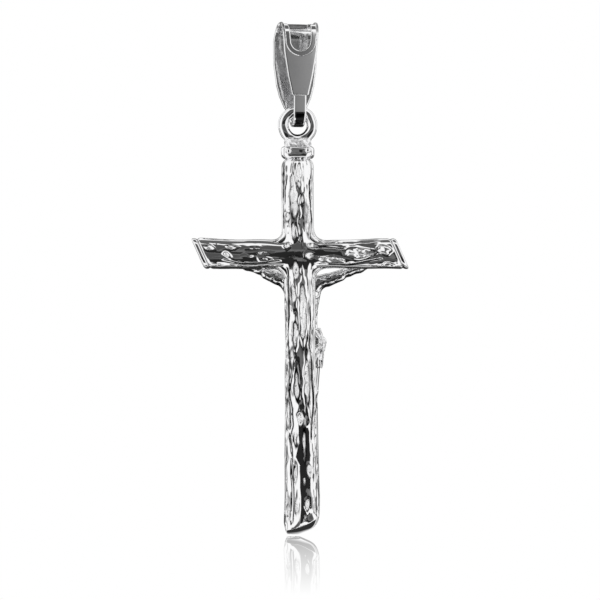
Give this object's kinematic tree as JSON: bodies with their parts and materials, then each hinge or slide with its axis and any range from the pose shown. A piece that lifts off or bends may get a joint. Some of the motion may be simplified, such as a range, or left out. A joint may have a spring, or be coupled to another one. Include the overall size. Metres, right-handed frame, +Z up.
{
  "type": "crucifix pendant",
  "caption": "Polished metal crucifix pendant: bark-textured log cross with a raised corpus, hung by a soldered ring from a folded tapered bail.",
  "frame": {"origin": "middle of the opening under the bail's top fold, where the chain passes", "axes": "+Z up along the cross, the figure faces -Y, the crossbeam runs along X"},
  "size_m": [0.0201, 0.0065, 0.0483],
  "materials": {
    "log_metal": "mirror-polished cast silver with darker, rougher pits",
    "figure_metal": "polished cast silver, granular at the back",
    "bail_metal": "polished sheet silver, slightly satin inside"
  },
  "bodies": {
    "bail": {"bail": "bail_metal"},
    "cross": {"cross": "log_metal", "corpus": "figure_metal"}
  },
  "joints": [
    {"name": "ring_swing", "type": "hinge", "parent": "bail", "child": "cross", "pos_m": [0, 0, -0.00676], "axis": [0.9816, 0.1908, 0], "range_deg": [-50, 90]}
  ]
}
